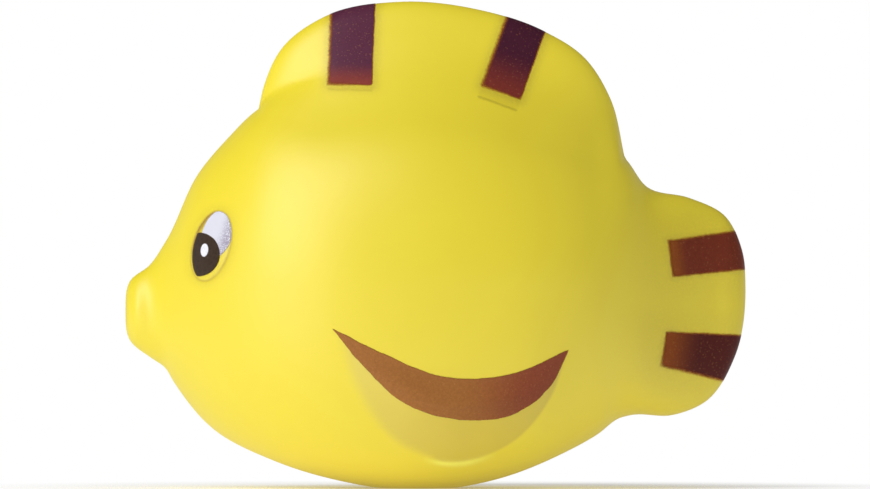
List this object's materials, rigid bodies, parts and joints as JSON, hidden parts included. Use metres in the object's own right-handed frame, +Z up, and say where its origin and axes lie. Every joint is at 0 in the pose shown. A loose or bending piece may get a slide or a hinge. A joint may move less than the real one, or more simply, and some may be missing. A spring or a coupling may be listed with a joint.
{
  "type": "squeaky bath toy",
  "caption": "Hollow soft vinyl fish bath toy with painted stripes and eyes, flanks that squeeze in and a reed squeaker in its flat belly.",
  "frame": {"origin": "centre of the bounding box on the plane that the flat belly rests on", "axes": "+X from the nose to the tail, +Y from the fish's left flank to its right flank, +Z up"},
  "size_m": [0.0854, 0.0464, 0.0668],
  "materials": {
    "yellow_vinyl": "satin soft vinyl",
    "brown_paint": "sprayed satin paint",
    "white_paint": "sprayed satin paint",
    "dark_paint": "glossy paint",
    "cream_plastic": "moulded plastic",
    "reed_film": "thin springy film"
  },
  "bodies": {
    "body": {"body_shell": "yellow_vinyl", "squeaker_housing": "cream_plastic", "reed_trough": "cream_plastic", "reed_wedge": "cream_plastic", "squeaker_cap": "cream_plastic", "front_dorsal_stripe": "brown_paint", "rear_dorsal_stripe": "brown_paint", "upper_tail_stripe": "brown_paint", "lower_tail_stripe": "brown_paint", "left_fin_crescent": "brown_paint", "right_fin_crescent": "brown_paint", "left_eye_white": "white_paint", "right_eye_white": "white_paint", "left_pupil": "dark_paint", "right_pupil": "dark_paint", "left_glint": "white_paint", "right_glint": "white_paint"},
    "left_flank": {"left_flank": "yellow_vinyl"},
    "right_flank": {"right_flank": "yellow_vinyl"},
    "reed": {"reed": "reed_film"}
  },
  "joints": [
    {"name": "left_squeeze", "type": "slide", "parent": "body", "child": "left_flank", "axis": [0, 1, 0], "range_m": [0, 0.008], "stiffness_N_per_m": 600},
    {"name": "right_squeeze", "type": "slide", "parent": "body", "child": "right_flank", "axis": [0, -1, 0], "range_m": [0, 0.008], "stiffness_N_per_m": 600},
    {"name": "reed_flutter", "type": "hinge", "parent": "body", "child": "reed", "pos_m": [-0.00248, 0, 0.0046], "axis": [0, -1, 0], "range_deg": [0, 3], "stiffness_Nm_per_rad": 0.0001}
  ],
  "couplings": [
    {"joint": "right_squeeze", "follows": "left_squeeze", "ratio": 1}
  ]
}
